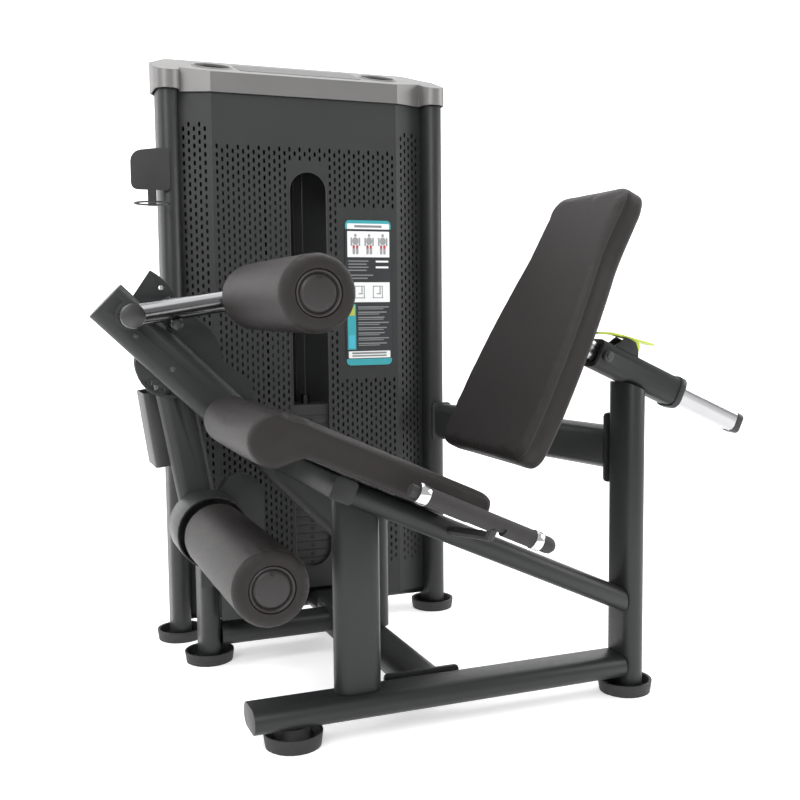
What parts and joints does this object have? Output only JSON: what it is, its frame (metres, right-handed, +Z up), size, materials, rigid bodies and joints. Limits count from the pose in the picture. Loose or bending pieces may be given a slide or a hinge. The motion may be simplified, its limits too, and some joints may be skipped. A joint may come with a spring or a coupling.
{
  "type": "leg extension machine",
  "caption": "Selectorised leg extension machine: sloping padded seat, sliding backrest, pivoting ankle roller and thigh roller, beside a shrouded weight tower.",
  "frame": {"origin": "middle of the machine's footprint, on the floor", "axes": "+Z up; +X along the weight tower's front, from the leg rollers towards the backrest; +Y from the seat towards the weight tower"},
  "size_m": [1.4302, 1.2136, 1.5595],
  "materials": {
    "frame_paint": "charcoal satin powder coat",
    "sheet_paint": "charcoal satin sheet, perforated in the look",
    "cap_silver": "silver-grey satin",
    "chrome": "polished chrome plate",
    "steel": "bright zinc plate",
    "iron": "black painted cast iron",
    "vinyl": "satin brown-black vinyl-coated upholstery fabric over foam",
    "rubber": "black moulded rubber",
    "plastic": "black matt plastic",
    "lever_green": "yellow-green moulded plastic",
    "placard": "printed instruction panel with plain figures and no words"
  },
  "bodies": {
    "root": {"tower_post_left": "frame_paint", "tower_post_right": "frame_paint", "tower_base_rail": "frame_paint", "tower_top_rail": "frame_paint", "floor_beam": "frame_paint", "main_post": "frame_paint", "rear_post": "frame_paint", "seat_rail": "frame_paint", "join_tube": "frame_paint", "beam_post": "frame_paint", "cross_member": "frame_paint", "base_tube": "frame_paint", "pivot_post": "frame_paint", "side_brace": "frame_paint", "support_beam": "frame_paint", "quadrant_plate": "frame_paint", "pulley_guard": "frame_paint", "slide_sleeve": "frame_paint", "front_shroud": "sheet_paint", "rear_shroud": "sheet_paint", "cable_guard": "sheet_paint", "top_cap": "cap_silver", "guide_rod_left": "chrome", "guide_rod_right": "chrome", "handle_near": "chrome", "handle_far": "chrome", "thigh_pivot_pin": "steel", "weight_plates_lower": "iron", "seat_pad": "vinyl", "foot_left": "rubber", "foot_right": "rubber", "foot_side": "rubber", "foot_rear": "rubber", "foot_front": "rubber", "hand_grip_near": "rubber", "hand_grip_far": "rubber", "drive_cable": "plastic", "stack_cable": "plastic", "phone_holder": "plastic", "placard": "placard"},
    "lift_stack": {"weight_plates_upper": "iron", "selector_stem": "steel"},
    "selector": {"selector_pin": "plastic"},
    "drive": {"drive_shaft": "steel"},
    "leg_arm": {"movement_arm": "frame_paint"},
    "start_lock": {"start_pin": "steel"},
    "ankle_roll": {"ankle_roller": "vinyl", "ankle_roller_cap": "plastic"},
    "thigh_lever": {"thigh_arm": "chrome"},
    "thigh_lock": {"thigh_pin": "steel"},
    "thigh_roll": {"thigh_roller": "vinyl", "thigh_roller_cap": "plastic"},
    "backrest": {"back_pad": "vinyl", "slide_bar": "chrome"},
    "lever": {"adjust_lever": "lever_green"},
    "back_lock": {"lock_pin": "steel"},
    "pulley_top": {"top_pulley": "plastic"},
    "pulley_rear": {"rear_pulley": "plastic"},
    "pulley_turn": {"turn_pulley": "plastic"},
    "pulley_front": {"front_pulley": "plastic"}
  },
  "joints": [
    {"name": "weight_lift", "type": "slide", "parent": "root", "child": "lift_stack", "axis": [0, 0, 1], "range_m": [0, 0.1134], "deforming": ["stack_cable"]},
    {"name": "selector_pull", "type": "slide", "parent": "lift_stack", "child": "selector", "axis": [0, -1, 0], "range_m": [0, 0.11]},
    {"name": "drive_turn", "type": "hinge", "parent": "root", "child": "drive", "pos_m": [-0.53435, 0.18425, 0.757], "axis": [0, 1, 0], "range_deg": [0, 100]},
    {"name": "arm_start_adjust", "type": "hinge", "parent": "drive", "child": "leg_arm", "pos_m": [-0.53435, 0.13425, 0.757], "axis": [0, 1, 0], "range_deg": [0, 60]},
    {"name": "start_pin_pull", "type": "slide", "parent": "leg_arm", "child": "start_lock", "axis": [0, 1, 0], "range_m": [0, 0.0045], "stiffness_N_per_m": 900, "springref_m": -0.003},
    {"name": "ankle_roller_spin", "type": "hinge", "parent": "leg_arm", "child": "ankle_roll", "pos_m": [-0.46535, -0.27825, 0.376], "axis": [0, 1, 0], "continuous": true},
    {"name": "thigh_arm_swing", "type": "hinge", "parent": "root", "child": "thigh_lever", "pos_m": [-0.63135, 0.01175, 0.868], "axis": [0, 1, 0], "range_deg": [-51, 0]},
    {"name": "thigh_pin_pull", "type": "slide", "parent": "thigh_lever", "child": "thigh_lock", "axis": [0, -1, 0], "range_m": [0, 0.01], "stiffness_N_per_m": 600, "springref_m": -0.004},
    {"name": "thigh_roller_spin", "type": "hinge", "parent": "thigh_lever", "child": "thigh_roll", "pos_m": [-0.36835, -0.27825, 0.908], "axis": [0, 1, 0], "continuous": true},
    {"name": "backrest_slide", "type": "slide", "parent": "root", "child": "backrest", "axis": [0.91, 0, -0.4147], "range_m": [-0.13, 0.04]},
    {"name": "adjust_lever_lift", "type": "hinge", "parent": "root", "child": "lever", "pos_m": [0.41439, -0.33825, 0.788], "axis": [0, 1, 0], "range_deg": [0, 18], "stiffness_Nm_per_rad": 1.5, "springref_deg": -8.59},
    {"name": "lock_pin_lift", "type": "slide", "parent": "root", "child": "back_lock", "axis": [0.4147, 0, 0.91], "range_m": [0, 0.0072]},
    {"name": "top_pulley_turn", "type": "hinge", "parent": "root", "child": "pulley_top", "pos_m": [-0.10335, 0.53175, 1.33], "axis": [1, 0, 0], "range_deg": [-144.9, 0]},
    {"name": "rear_pulley_turn", "type": "hinge", "parent": "root", "child": "pulley_rear", "pos_m": [-0.14835, 0.57675, 0.205], "axis": [0, 1, 0], "range_deg": [0, 144.9]},
    {"name": "turn_pulley_turn", "type": "hinge", "parent": "root", "child": "pulley_turn", "pos_m": [-0.30835, 0.53175, 0.16], "axis": [0, 0, 1], "range_deg": [0, 144.9]},
    {"name": "front_pulley_turn", "type": "hinge", "parent": "root", "child": "pulley_front", "pos_m": [-0.37082, 0.22925, 0.20147], "axis": [0.9215, 0, 0.3883], "range_deg": [-144.9, 0]}
  ],
  "couplings": [
    {"joint": "drive_turn", "follows": "weight_lift", "rad_per_m": 15.385},
    {"joint": "top_pulley_turn", "follows": "weight_lift", "rad_per_m": -22.222},
    {"joint": "rear_pulley_turn", "follows": "weight_lift", "rad_per_m": 22.222},
    {"joint": "turn_pulley_turn", "follows": "weight_lift", "rad_per_m": 22.222},
    {"joint": "front_pulley_turn", "follows": "weight_lift", "rad_per_m": -22.222},
    {"joint": "lock_pin_lift", "follows": "adjust_lever_lift", "m_per_rad": 0.0225}
  ]
}
